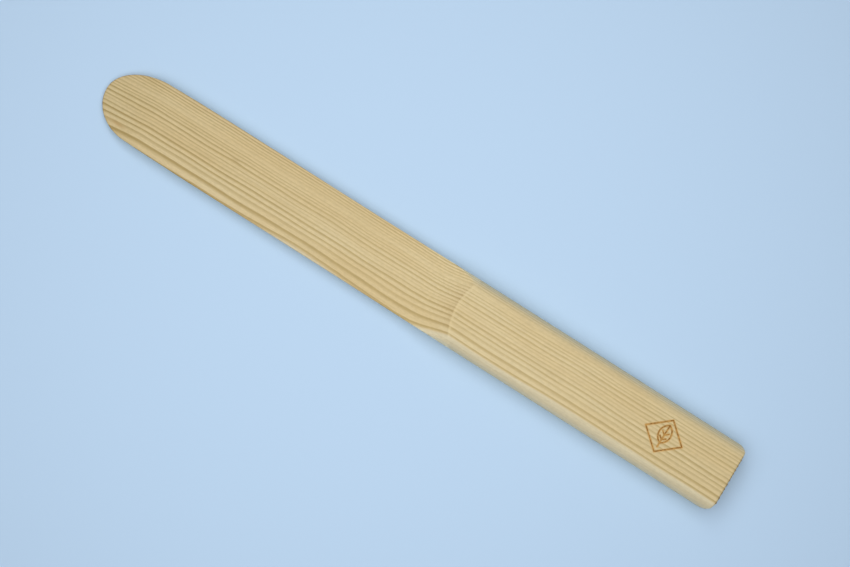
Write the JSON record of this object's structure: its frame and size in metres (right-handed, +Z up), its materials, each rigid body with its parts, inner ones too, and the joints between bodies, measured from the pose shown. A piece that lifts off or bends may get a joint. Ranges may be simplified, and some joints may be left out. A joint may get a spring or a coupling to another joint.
{
  "type": "wooden bone folder",
  "caption": "Flat wooden creasing tool for paper: a thick rounded handle that ramps down to a thin flat blade with a round tip",
  "frame": {"origin": "under the middle of the bar, on the flat underside that the folder lies on", "axes": "+X along the bar from the handle's end to the tip, +Y across it, +Z up out of the marked face"},
  "size_m": [0.244, 0.0248, 0.008],
  "materials": {
    "pine": "bare, sanded, matt",
    "charred_pine": "burned, matt"
  },
  "bodies": {
    "root": {"folder_body": "pine", "burned_mark": "charred_pine"}
  },
  "joints": []
}
